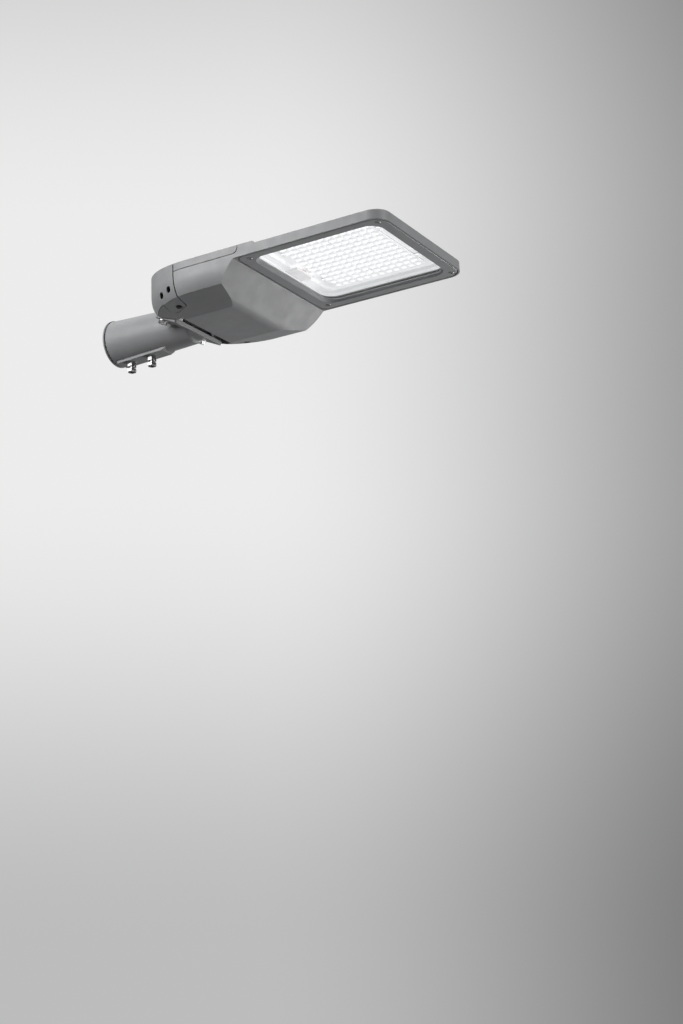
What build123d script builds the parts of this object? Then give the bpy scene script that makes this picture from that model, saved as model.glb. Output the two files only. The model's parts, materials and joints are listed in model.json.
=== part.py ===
from build123d import *

import os
from math import atan2, cos, degrees, hypot, radians, sin, tan

# LED street-light head on a tilting pole spigot.
# Millimetres, +Z up, +X towards the nose of the head. The origin is the centre of the
# spigot's mouth, on the axis of the pole end that slides into it.

os.makedirs("parts", exist_ok=True)

# ---------------------------------------------------------------- driving dimensions
# Fits
SEAM_GAP = 1.1  # open line between two castings
RUN_FIT = 0.1  # radial clearance of a pin or screw that turns or slides
POLE_FIT = 0.5  # radial clearance between the pole end and the spigot's bore
DROP_FIT = 0.5  # clearance round a piece that drops into a recess
STOP_FIT = 0.4  # radial clearance of the stop bolt in its slot

# Spigot
POLE_DIAMETER = 60.0
SPIGOT_DEPTH = 110.0
MOUTH_RADIUS = 37.8
TUBE_TIP_RADIUS = 31.6
TUBE_LENGTH = 158.0
LIP_RADIUS = 39.0
LIP_LENGTH = 2.2
LIP_GROOVE = 1.8  # groove in front of the lip, this deep and a little wider
CABLE_WAY_RADIUS = 20.0
PAD_REAR_X = 10.0
PAD_FRONT_X = 106.0
PAD_WIDTH = 27.0
PAD_DROP = 1.8  # below the tapered tube, along its whole length
PAD_NOSE_RUN = 7.0
BOSS_RISE = 0.5  # of the round seats for the lock nuts, below the pad
CLAMP_FIRST_X = 30.0
CLAMP_PITCH = 40.5

# Slanted flange that carries the tilt bracket
FLANGE_ANGLE = 25.0
FLANGE_EDGE_DROP = 26.5  # flange edge below the tilt axis
FLANGE_EDGE_BACK = 9.5  # flange edge behind the tilt axis
FLANGE_LENGTH = 46.0
FLANGE_THICKNESS = 6.5
FLANGE_BOLT_RUN = 33.5  # from the flange's edge, along the slope
FLANGE_BOLT_SIDE = 12.5  # in from the flange's side

# Tilt joint
PIVOT_X = 172.0
PIVOT_Z = 7.5
STOP_FORWARD = 20.0
STOP_UP = 2.0
TILT_LIMIT = 10.0
POCKET_HALF = 67.0
FLANGE_SIDE_GAP = 3.5
EAR_SIDE_GAP = 0.5
EAR_THICKNESS = 6.0
CHEEK_WALL = 6.0

# Head, seen from above
HALF_WIDTH = 130.0
TAIL_BACK = 51.0  # tail behind the tilt axis
TAIL_CENTRE_FORWARD = 60.0  # centre of the half-round tail, from the tilt axis
CAP_SEAM_FORWARD = 34.0  # seam between rear cap and lid, from the tilt axis
POCKET_LIP_FORWARD = 9.0  # rear edge of the flat underside, from the tilt axis
PARTITION = 7.5
GEAR_LENGTH = 98.0
FRONT_WALL = 9.0
FRAME_LENGTH = 254.5
RIM = 3.0
NOSE_RADIUS = 25.5
RIM_STEP = 2.0  # flat strip of casting behind the cover frame

# Head, seen from the side
SEAM_Z = 26.0
SLAB_HEIGHT = 16.4
LID_STEP = 3.0
CROWN_RISE = 16.6
TUB_DEPTH = 44.5
CHINE_DEPTH = 30.5
CHINE_IN = 10.8
FLAT_HALF = 62.0
STERN_PROUD = 0.05  # the round stern crosses the straight sides instead of grazing them
STERN_RADIUS_IN = 32.0  # the stern cone rises this far outside the flat underside
RAMP_RUN = 41.0
RAMP_BLEND = 24.0
SHOULDER_FORWARD = 36.0  # raised shoulder in front of the cover frame's rear edge
SHOULDER_RUN = 18.0
PLATEAU_RISE = 8.1
TOP_EDGE_FILLET = 2.5

# Walls
WALL = 3.5
CAP_WALL = 3.0
LID_WALL = 3.0

# Lid
LID_SIDE_DEPTH = 13.0
LID_NOSE_FORWARD = 7.0  # past the cover frame's rear edge
LID_CORNER = 9.0
LID_RIM_Z = 36.5
LID_SEAL = 2.0
LID_SEAL_WIDTH = 4.0
RIM_INSET = 7.0
HINGE_RADIUS = 4.5
HINGE_RISE = 3.5  # hinge axis above the crown
HINGE_SPACING = 100.0
KNUCKLE_WIDTH = 8.0
EAR_WIDTH = 6.0
PIN_RADIUS = 2.0

# Light window
BORDER_REAR = 17.8
BORDER_FRONT = 17.0
BORDER_SIDE = 16.0
WINDOW_RADIUS = 22.8
FRAME_REAR_RADIUS = 12.0
FRAME_THICKNESS = 4.5
BEVEL_REAR = 5.3
BEVEL_SIDE = 2.0
BEVEL_DEPTH = 3.0
GLASS_THICKNESS = 4.0
GLASS_LAP = 6.5
SEAL_THICKNESS = 1.5
LAMP_DEPTH = 8.4  # from the seal's ledge to the heat spreader

# Light engine
LED_COLUMN_PITCH = 13.2
LED_ROW_PITCH = 14.8
LENS_RADIUS = 5.4
LENS_HEIGHT = 3.6
LENS_PLATE = 1.6
LENS_MARGIN = 7.2
BOARD_THICKNESS = 1.6
LED_SIZE = 3.0
LED_HEIGHT = 0.7
ENGINE_MARGIN_X = 29.0
ENGINE_MARGIN_Y = 20.0

# Gear
TRAY_THICKNESS = 1.5
TRAY_Z = -5.5
DRIVER_LENGTH = 118.0
DRIVER_WIDTH = 53.0
DRIVER_HEIGHT = 34.0
LEAD_RADIUS = 1.2

# ---------------------------------------------------------------- worked-out sizes
BORE_RADIUS = POLE_DIAMETER / 2 + POLE_FIT
TAPER = (MOUTH_RADIUS - TUBE_TIP_RADIUS) / TUBE_LENGTH
PAD_REAR_Z = -MOUTH_RADIUS + TAPER * PAD_REAR_X - PAD_DROP
PAD_FRONT_Z = -MOUTH_RADIUS + TAPER * PAD_FRONT_X - PAD_DROP
CLAMP_SPOTS = [
    (x, -MOUTH_RADIUS + TAPER * x - PAD_DROP - BOSS_RISE)
    for x in (CLAMP_FIRST_X, CLAMP_FIRST_X + CLAMP_PITCH)
]

EDGE_X = PIVOT_X - FLANGE_EDGE_BACK
EDGE_Z = PIVOT_Z - FLANGE_EDGE_DROP
SLOPE = radians(FLANGE_ANGLE)
FLANGE_PLANE = Plane(origin=(EDGE_X, 0, EDGE_Z), x_dir=(0, 1, 0), z_dir=(sin(SLOPE), 0, cos(SLOPE)))
FLANGE_HALF = POCKET_HALF - FLANGE_SIDE_GAP
EAR_OUTER = POCKET_HALF - EAR_SIDE_GAP
EAR_INNER = EAR_OUTER - EAR_THICKNESS
FLANGE_BOLT_Y = FLANGE_HALF - FLANGE_BOLT_SIDE
TUBE_CUT_X = EDGE_X - 21.5

TAIL_X = PIVOT_X - TAIL_BACK
TAIL_CENTRE_X = PIVOT_X + TAIL_CENTRE_FORWARD
CAP_SEAM_X = PIVOT_X + CAP_SEAM_FORWARD
POCKET_LIP_X = PIVOT_X + POCKET_LIP_FORWARD
GEAR_REAR_X = CAP_SEAM_X + PARTITION
GEAR_FRONT_X = GEAR_REAR_X + GEAR_LENGTH
FRAME_REAR_X = GEAR_FRONT_X + FRONT_WALL
FRAME_NOSE_X = FRAME_REAR_X + FRAME_LENGTH
NOSE_X = FRAME_NOSE_X + RIM
SLAB_REAR_X = FRAME_REAR_X - RIM_STEP
SHOULDER_X = FRAME_REAR_X + SHOULDER_FORWARD
LID_NOSE_X = FRAME_REAR_X + LID_NOSE_FORWARD

HEAD_TOP_Z = SEAM_Z + SLAB_HEIGHT
LID_EDGE_Z = HEAD_TOP_Z + LID_STEP
CROWN_Z = LID_EDGE_Z + CROWN_RISE
BOTTOM_Z = SEAM_Z - TUB_DEPTH
CHINE_Z = SEAM_Z - CHINE_DEPTH
CHINE_Y = HALF_WIDTH - CHINE_IN
PLATEAU_Z = HEAD_TOP_Z + PLATEAU_RISE
RAMP_SLOPE = TUB_DEPTH / RAMP_RUN
LID_SEAM_Z = LID_EDGE_Z - LID_SIDE_DEPTH
HINGE_Z = CROWN_Z + HINGE_RISE
CLEAR_Z = CROWN_Z + 40.0  # above everything
DEEP_Z = BOTTOM_Z - 40.0  # below everything

FRAME_HALF = HALF_WIDTH - RIM
WINDOW_REAR_X = FRAME_REAR_X + BORDER_REAR
WINDOW_NOSE_X = FRAME_NOSE_X - BORDER_FRONT
WINDOW_HALF = FRAME_HALF - BORDER_SIDE
FRAME_TOP_Z = SEAM_Z + FRAME_THICKNESS
GLASS_Z = FRAME_TOP_Z + SEAL_THICKNESS
GLASS_TOP_Z = GLASS_Z + GLASS_THICKNESS
LEDGE_Z = GLASS_TOP_Z + SEAL_THICKNESS
LAMP_TOP_Z = LEDGE_Z + LAMP_DEPTH
FRAME_SCREWS = [
    (x, side * (WINDOW_HALF + 1.7))
    for x in (WINDOW_REAR_X + 0.7, WINDOW_NOSE_X + 4.5)
    for side in (-1, 1)
]

BOARD_Z = LAMP_TOP_Z - BOARD_THICKNESS
LENS_PLATE_Z = BOARD_Z - LENS_PLATE
ENGINE_X = (WINDOW_REAR_X + WINDOW_NOSE_X) / 2 + 1.5
LED_COLUMNS = int((WINDOW_NOSE_X - WINDOW_REAR_X - 2 * ENGINE_MARGIN_X) / LED_COLUMN_PITCH)
LED_ROWS = int((2 * WINDOW_HALF - 2 * ENGINE_MARGIN_Y) / LED_ROW_PITCH)
LENS_HALF_X = (LED_COLUMNS - 1) * LED_COLUMN_PITCH / 2 + LENS_MARGIN
LENS_HALF_Y = (LED_ROWS - 1) * LED_ROW_PITCH / 2 + LENS_MARGIN
BOARD_SCREW_X = LENS_HALF_X + 3.0
BOARD_SCREW_Y = 4 * LED_ROW_PITCH
LED_GRID = (LED_COLUMN_PITCH, LED_ROW_PITCH, LED_COLUMNS, LED_ROWS)
BOARD_SCREWS = [
    (ENGINE_X + x, side * BOARD_SCREW_Y)
    for x in (-BOARD_SCREW_X, 0, BOARD_SCREW_X)
    for side in (-1, 1)
]

STOP_X = PIVOT_X + STOP_FORWARD
STOP_Z = PIVOT_Z + STOP_UP
LEAD_Y = 10.0


# ---------------------------------------------------------------- shared shapes
def block(x_range, y_range, z_range, mode=Mode.ADD):
    """A box between two stations on each axis, in the part being built."""
    ranges = (x_range, y_range, z_range)
    with Locations(tuple((low + high) / 2 for low, high in ranges)):
        Box(*[high - low for low, high in ranges], mode=mode)


def plan_outline(x_range, half_width, rear_radius, nose_radius, z):
    """A rectangle with rounded corners, lying at height z and centred on the XZ plane."""
    with BuildSketch(Plane.XY.offset(z)) as outline:
        with Locations((sum(x_range) / 2, 0)):
            Rectangle(x_range[1] - x_range[0], 2 * half_width)
        if rear_radius:
            fillet(outline.vertices().group_by(Axis.X)[0], rear_radius)
        if nose_radius:
            fillet(outline.vertices().group_by(Axis.X)[-1], nose_radius)
    return outline.sketch


def window_outline(grow, z):
    """The light window's outline in the cover frame's outer face, grown on every side."""
    x_range = (WINDOW_REAR_X - grow, WINDOW_NOSE_X + grow)
    return plan_outline(x_range, WINDOW_HALF + grow, WINDOW_RADIUS + grow, WINDOW_RADIUS + grow, z)


def frame_outline(grow, z):
    """The cover frame's outer outline, grown on every side."""
    x_range = (FRAME_REAR_X - grow, FRAME_NOSE_X + grow)
    return plan_outline(x_range, FRAME_HALF + grow, FRAME_REAR_RADIUS, NOSE_RADIUS - RIM, z)


def side_half_profile():
    """Right half of the gear housing's cross-section: crown, bulging side, chine, flat."""
    TangentArc((0, CROWN_Z), (HALF_WIDTH, LID_EDGE_Z), tangent=(1, 0))
    Line((HALF_WIDTH, LID_EDGE_Z), (HALF_WIDTH, SEAM_Z))
    TangentArc((HALF_WIDTH, SEAM_Z), (CHINE_Y, CHINE_Z), tangent=(0, -1))


def tail_limit(inset):
    """Half-round tail with straight sides in front of it, all set in by the inset."""
    reach = NOSE_X - TAIL_CENTRE_X
    with BuildPart() as limit:
        stern = Plane(origin=(TAIL_CENTRE_X, 0, 0), x_dir=(1, 0, 0), z_dir=(0, -1, 0))
        with BuildSketch(stern) as profile:
            with BuildLine():
                Polyline((0, CLEAR_Z), (HALF_WIDTH, CLEAR_Z), (HALF_WIDTH, SEAM_Z))
                TangentArc((HALF_WIDTH, SEAM_Z), (CHINE_Y, CHINE_Z), tangent=(0, -1))
                stern_foot = (CHINE_Y - STERN_RADIUS_IN, BOTTOM_Z)
                Polyline((CHINE_Y, CHINE_Z), stern_foot, (0, BOTTOM_Z), (0, CLEAR_Z))
            make_face()
            mirror(about=Plane.YZ)
            offset(amount=STERN_PROUD - inset, kind=Kind.INTERSECTION, mode=Mode.REPLACE)
            with Locations((HALF_WIDTH + 1, 0)):
                Rectangle(2 * HALF_WIDTH + 2, 4 * CLEAR_Z, mode=Mode.INTERSECT)
        revolve(axis=Axis((TAIL_CENTRE_X, 0, 0), (0, 0, 1)))
        side = HALF_WIDTH + 5
        block((TAIL_CENTRE_X, TAIL_CENTRE_X + reach), (-side, side), (DEEP_Z, CLEAR_Z))
    return limit.part


def tail_form(inset):
    """Everything behind the light window as one closed form, set in by the inset."""
    with BuildPart() as form:
        with BuildSketch(Plane.YZ.offset(TAIL_X + inset)):
            with BuildLine():
                side_half_profile()
                Polyline((CHINE_Y, CHINE_Z), (FLAT_HALF, BOTTOM_Z), (0, BOTTOM_Z), (0, CROWN_Z))
            make_face()
            mirror(about=Plane.YZ)
            if inset:
                offset(amount=-inset, kind=Kind.INTERSECTION, mode=Mode.REPLACE)
        extrude(amount=SHOULDER_X - TAIL_X - inset)
        add(tail_limit(inset), mode=Mode.INTERSECT)
    return form.part


def ramp_wedge(shift):
    """Space under the ramp between the gear housing and the light window."""
    with BuildPart() as wedge:
        with BuildSketch(Plane.XZ) as profile:
            foot = (SLAB_REAR_X - RAMP_RUN - shift, BOTTOM_Z)
            with BuildLine():
                Polyline(
                    (TAIL_X, BOTTOM_Z),
                    foot,
                    (SLAB_REAR_X - shift, SEAM_Z),
                    (NOSE_X, SEAM_Z),
                    (NOSE_X, DEEP_Z),
                    (TAIL_X, DEEP_Z),
                    close=True,
                )
            make_face()
            fillet(profile.vertices().sort_by_distance(foot)[0], RAMP_BLEND)
        extrude(amount=HALF_WIDTH + RIM, both=True)
    return wedge.part


def lobe_outline(grow, side, z):
    """Foot of the rear cap that wraps under the chamfered side, seen from above."""
    inner = POCKET_HALF + 15.0
    outer = HALF_WIDTH + 10.0
    with BuildSketch(Plane.XY.offset(z)) as outline:
        with BuildLine():
            Polyline(
                (CAP_SEAM_X, side * outer),
                (CAP_SEAM_X, side * (inner + 9.5)),
                (PIVOT_X + 11, side * inner),
                (PIVOT_X - 3, side * inner),
                (PIVOT_X - 3, side * outer),
                close=True,
            )
        make_face()
        corners = outline.vertices().group_by(Axis.Y)
        near = (corners[0] + corners[1]) if side > 0 else (corners[-1] + corners[-2])
        fillet(near, 5.0)
        if grow:
            offset(amount=grow, mode=Mode.REPLACE)
    return outline.sketch


def hexagon(plane, spots, across_flats, hole_radius=0.0):
    """Hexagons at the given spots of a plane, with a round hole where one is asked for."""
    with BuildSketch(plane) as outline:
        with Locations(*spots):
            RegularPolygon(across_flats / 2, 6, major_radius=False)
            if hole_radius:
                Circle(hole_radius, mode=Mode.SUBTRACT)
    return outline.sketch


outer_form = tail_form(0)
wall_form = tail_form(WALL)
cap_form = tail_form(CAP_WALL)

# ---------------------------------------------------------------- adapter
with BuildPart() as adapter:
    with BuildSketch(Plane.XZ):
        with BuildLine():
            Polyline(
                (0, BORE_RADIUS),
                (0, LIP_RADIUS),
                (LIP_LENGTH, LIP_RADIUS),
                (LIP_LENGTH, MOUTH_RADIUS - LIP_GROOVE),
                (LIP_LENGTH + LIP_GROOVE + 0.6, MOUTH_RADIUS - LIP_GROOVE),
                (LIP_LENGTH + LIP_GROOVE + 0.6, MOUTH_RADIUS),
                (TUBE_LENGTH, TUBE_TIP_RADIUS),
                (TUBE_LENGTH, 0),
                (SPIGOT_DEPTH, 0),
                (SPIGOT_DEPTH, BORE_RADIUS),
                close=True,
            )
        make_face()
    revolve(axis=Axis.X)
    fillet(adapter.edges().filter_by(GeomType.CIRCLE).sort_by(Axis.X)[-1], 6)
    with BuildSketch(Plane.XZ):
        with BuildLine():
            Polyline(
                (PAD_REAR_X, -BORE_RADIUS - 0.5),
                (PAD_REAR_X, PAD_REAR_Z),
                (PAD_FRONT_X - PAD_NOSE_RUN, PAD_FRONT_Z),
                (PAD_FRONT_X, PAD_FRONT_Z + PAD_DROP + 1.5),
                (PAD_FRONT_X, -BORE_RADIUS - 0.5),
                close=True,
            )
        make_face()
    extrude(amount=PAD_WIDTH / 2, both=True)
    for seat_x, seat_z in CLAMP_SPOTS:
        with BuildSketch(Plane.XY.offset(seat_z)):
            with Locations((seat_x, 0)):
                Circle(8.5)
        extrude(amount=BOSS_RISE + 2.5)
    with BuildSketch(Plane.XZ):
        flange_z = EDGE_Z + (EDGE_X - TUBE_CUT_X) * tan(SLOPE)
        with BuildLine():
            Polyline(
                (TUBE_CUT_X, flange_z),
                (EDGE_X, EDGE_Z),
                (EDGE_X, CLEAR_Z),
                (TUBE_CUT_X, CLEAR_Z),
                close=True,
            )
        make_face()
    extrude(amount=HALF_WIDTH, both=True, mode=Mode.SUBTRACT)
    with BuildSketch(FLANGE_PLANE) as flange:
        with Locations((0, FLANGE_LENGTH / 2)):
            Rectangle(2 * FLANGE_HALF, FLANGE_LENGTH)
        fillet(flange.vertices().group_by(Axis.Y)[-1], 10)
        fillet(flange.vertices().group_by(Axis.Y)[0], 3)
    extrude(amount=FLANGE_THICKNESS)
    with BuildSketch(FLANGE_PLANE):
        with Locations((-FLANGE_BOLT_Y, FLANGE_BOLT_RUN), (FLANGE_BOLT_Y, FLANGE_BOLT_RUN)):
            Circle(4.0 + DROP_FIT)
    extrude(amount=FLANGE_THICKNESS, mode=Mode.SUBTRACT)
    with BuildSketch(Plane.YZ.offset(SPIGOT_DEPTH)):
        Circle(CABLE_WAY_RADIUS)
    extrude(amount=TUBE_CUT_X - SPIGOT_DEPTH, mode=Mode.SUBTRACT)
    with BuildSketch(Plane.YZ):
        Circle(BORE_RADIUS)
    extrude(amount=SPIGOT_DEPTH, mode=Mode.SUBTRACT)
    with BuildSketch(Plane.XY.offset(-LIP_RADIUS - 5)):
        with Locations(*[(x, 0) for x, z in CLAMP_SPOTS]):
            Circle(4.0)
    extrude(amount=LIP_RADIUS, mode=Mode.SUBTRACT)
adapter.part.label = "adapter"
export_step(adapter.part, "parts/adapter.step")

# ---------------------------------------------------------------- clamp screws and lock nuts
NUT_HEIGHT = 6.5
HEX_ACROSS = 13.0
HEAD_HEIGHT = 5.5
CLAMP_TRAVEL = 4.0
SCREW_TIP_Z = -BORE_RADIUS - 0.3


def clamp_screw(x, seat_z):
    """Hexagon-headed screw with a socket in its head, pointing up at the pole."""
    head_z = seat_z - NUT_HEIGHT - CLAMP_TRAVEL
    down = Plane(origin=(x, 0, head_z), x_dir=(1, 0, 0), z_dir=(0, 0, -1))
    with BuildPart() as screw:
        extrude(hexagon(down, [(0, 0)], HEX_ACROSS), amount=HEAD_HEIGHT)
        chamfer(screw.faces().sort_by(Axis.Z)[0].edges(), 0.7)
        extrude(hexagon(down.offset(HEAD_HEIGHT), [(0, 0)], 6.0), amount=-3.5, mode=Mode.SUBTRACT)
        with BuildSketch(down):
            Circle(4.0 - RUN_FIT)
        extrude(amount=head_z - SCREW_TIP_Z)
        chamfer(screw.faces().sort_by(Axis.Z)[-1].edges(), 0.8)
    return screw


rear_clamp_screw = clamp_screw(*CLAMP_SPOTS[0])
rear_clamp_screw.part.label = "rear_clamp_screw"
export_step(rear_clamp_screw.part, "parts/rear_clamp_screw.step")

front_clamp_screw = clamp_screw(*CLAMP_SPOTS[1])
front_clamp_screw.part.label = "front_clamp_screw"
export_step(front_clamp_screw.part, "parts/front_clamp_screw.step")

with BuildPart() as lock_nuts:
    for seat_x, seat_z in CLAMP_SPOTS:
        nut_plane = Plane.XY.offset(seat_z - NUT_HEIGHT)
        extrude(hexagon(nut_plane, [(seat_x, 0)], HEX_ACROSS, 4.0), amount=NUT_HEIGHT)
lock_nuts.part.label = "lock_nuts"
export_step(lock_nuts.part, "parts/lock_nuts.step")

# ---------------------------------------------------------------- flange bolts and washers
WASHER_THICKNESS = 1.6
BRACKET_FOOT = 6.5
FLANGE_SPOTS = [(-FLANGE_BOLT_Y, FLANGE_BOLT_RUN), (FLANGE_BOLT_Y, FLANGE_BOLT_RUN)]
under_flange = FLANGE_PLANE.offset(-WASHER_THICKNESS)

with BuildPart() as flange_washers:
    with BuildSketch(under_flange):
        with Locations(*FLANGE_SPOTS):
            Circle(8.5)
            Circle(4.0 + DROP_FIT / 2, mode=Mode.SUBTRACT)
    extrude(amount=WASHER_THICKNESS)
flange_washers.part.label = "flange_washers"
export_step(flange_washers.part, "parts/flange_washers.step")

with BuildPart() as flange_bolts:
    extrude(hexagon(under_flange, FLANGE_SPOTS, HEX_ACROSS), amount=-HEAD_HEIGHT)
    with BuildSketch(under_flange):
        with Locations(*FLANGE_SPOTS):
            Circle(4.0)
    extrude(amount=WASHER_THICKNESS + FLANGE_THICKNESS + BRACKET_FOOT)
flange_bolts.part.label = "flange_bolts"
export_step(flange_bolts.part, "parts/flange_bolts.step")

# ---------------------------------------------------------------- tilt bracket
with BuildPart() as tilt_bracket:
    foot_run = (6.0, 42.0)
    with BuildSketch(FLANGE_PLANE.offset(FLANGE_THICKNESS)):
        for side in (-1, 1):
            with Locations((side * (EAR_OUTER + 40) / 2, sum(foot_run) / 2)):
                Rectangle(EAR_OUTER - 40, foot_run[1] - foot_run[0])
    extrude(amount=BRACKET_FOOT)
    for side in (-1, 1):
        with BuildSketch(Plane.XZ.offset(-side * EAR_INNER)):
            with Locations((PIVOT_X, PIVOT_Z)):
                Circle(14)
            with Locations((STOP_X, STOP_Z)):
                Circle(11)
            with Locations((EDGE_X - 22, EDGE_Z + 28)):
                Circle(8)
            make_hull()
        extrude(amount=-side * EAR_THICKNESS)
    block((EDGE_X - 12, EDGE_X - 5), (-EAR_OUTER, EAR_OUTER), (EDGE_Z + 14, EDGE_Z + 22))
    with BuildSketch(Plane.XZ):
        stop_reach = hypot(STOP_FORWARD, STOP_UP)
        stop_angle = degrees(atan2(STOP_UP, STOP_FORWARD))
        slot_angles = (stop_angle - TILT_LIMIT - 0.6, stop_angle + TILT_LIMIT + 0.6)
        slot_half = 4.0 + STOP_FIT
        with BuildLine():
            slot_span = slot_angles[1] - slot_angles[0]
            outer_arc = CenterArc((PIVOT_X, PIVOT_Z), stop_reach + slot_half, slot_angles[0], slot_span)
            inner_arc = CenterArc((PIVOT_X, PIVOT_Z), stop_reach - slot_half, slot_angles[0], slot_span)
            Line(outer_arc @ 0, inner_arc @ 0)
            Line(outer_arc @ 1, inner_arc @ 1)
        make_face()
        for angle in slot_angles:
            end_x = PIVOT_X + stop_reach * cos(radians(angle))
            end_z = PIVOT_Z + stop_reach * sin(radians(angle))
            with Locations((end_x, end_z)):
                Circle(slot_half)
        with Locations((PIVOT_X, PIVOT_Z)):
            Circle(4.0 + RUN_FIT)
    extrude(amount=EAR_OUTER, both=True, mode=Mode.SUBTRACT)
    with BuildSketch(FLANGE_PLANE.offset(FLANGE_THICKNESS)):
        with Locations(*FLANGE_SPOTS):
            Circle(4.0)
    extrude(amount=BRACKET_FOOT, mode=Mode.SUBTRACT)
tilt_bracket.part.label = "tilt_bracket"
export_step(tilt_bracket.part, "parts/tilt_bracket.step")


# ---------------------------------------------------------------- pivot and stop bolts
def cheek_bolts(x, z):
    """A pair of socket-head bolts, one in each cheek, pointing at each other."""
    with BuildPart() as bolts:
        for side in (-1, 1):
            seat = POCKET_HALF + CHEEK_WALL
            with BuildSketch(Plane.XZ.offset(-side * seat)):
                with Locations((x, z)):
                    Circle(6.5)
                    RegularPolygon(3.0, 6, major_radius=False, mode=Mode.SUBTRACT)
            extrude(amount=-side * 8)
            with BuildSketch(Plane.XZ.offset(-side * seat)):
                with Locations((x, z)):
                    Circle(6.5)
            extrude(amount=-side * 3)
            with BuildSketch(Plane.XZ.offset(-side * seat)):
                with Locations((x, z)):
                    Circle(4.0)
            extrude(amount=side * (seat - EAR_INNER + 1.5))
    return bolts


pivot_bolts = cheek_bolts(PIVOT_X, PIVOT_Z)
pivot_bolts.part.label = "pivot_bolts"
export_step(pivot_bolts.part, "parts/pivot_bolts.step")

stop_bolts = cheek_bolts(STOP_X, STOP_Z)
stop_bolts.part.label = "stop_bolts"
export_step(stop_bolts.part, "parts/stop_bolts.step")

# ---------------------------------------------------------------- housing
FIN_COUNT = 15
FIN_PITCH = 12.0
FIN_THICKNESS = 2.6
FIN_HEIGHT = 10.0
CAP_SCREW_X = PIVOT_X + 21.0
CAP_SCREW_Y = POCKET_HALF + 26.0
GLAND_Y = -44.0
GLAND_Z = 14.0
LID_SCREW_Y = 80.0
LID_SCREW_X = FRAME_REAR_X + 1.0
BULKHEAD_HALF = 100.0
BULKHEAD_INSET = 7.0
WIRE_POCKET_X = (FRAME_REAR_X + 10.0, FRAME_REAR_X + 31.0)
WIRE_POCKET_Z = (LEDGE_Z + 3.0, LAMP_TOP_Z + 1.0)
TRAY_HALF = 97.0
POST_HEIGHT = 4.5
TRAY_REAR_X = GEAR_REAR_X + 2.5
TRAY_NOSE_X = TRAY_REAR_X + 64.0
TRAY_POSTS = [(x, side * 91.0) for x in (TRAY_REAR_X + 6, TRAY_NOSE_X - 7) for side in (-1, 1)]

with BuildPart() as gear_cavity:
    add(wall_form)
    block(
        (GEAR_REAR_X, GEAR_FRONT_X),
        (-HALF_WIDTH, HALF_WIDTH),
        (DEEP_Z, LID_SEAM_Z - 4.0),
        mode=Mode.INTERSECT,
    )
    add(ramp_wedge(WALL * hypot(1, RAMP_SLOPE) / RAMP_SLOPE), mode=Mode.SUBTRACT)

with BuildPart() as bulkhead:
    add(tail_form(BULKHEAD_INSET))
    block(
        (GEAR_FRONT_X + 5.0, LID_NOSE_X + 1.0),
        (-BULKHEAD_HALF, BULKHEAD_HALF),
        (FRAME_TOP_Z, CLEAR_Z),
        mode=Mode.INTERSECT,
    )

with BuildPart() as lid_zone:
    with BuildSketch(Plane.XZ) as lid_side:
        with Locations(((CAP_SEAM_X + LID_NOSE_X) / 2, (LID_SEAM_Z + CLEAR_Z) / 2)):
            Rectangle(LID_NOSE_X - CAP_SEAM_X, CLEAR_Z - LID_SEAM_Z)
        lid_toe = lid_side.vertices().sort_by_distance((LID_NOSE_X, LID_SEAM_Z))[0]
        fillet(lid_toe, LID_CORNER)
    extrude(amount=HALF_WIDTH + RIM, both=True)

with BuildPart() as slab:
    extrude(plan_outline((SLAB_REAR_X, NOSE_X), HALF_WIDTH, 0, NOSE_RADIUS, SEAM_Z), amount=SLAB_HEIGHT)
    fillet(slab.faces().sort_by(Axis.Z)[-1].edges(), TOP_EDGE_FILLET)

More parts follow.
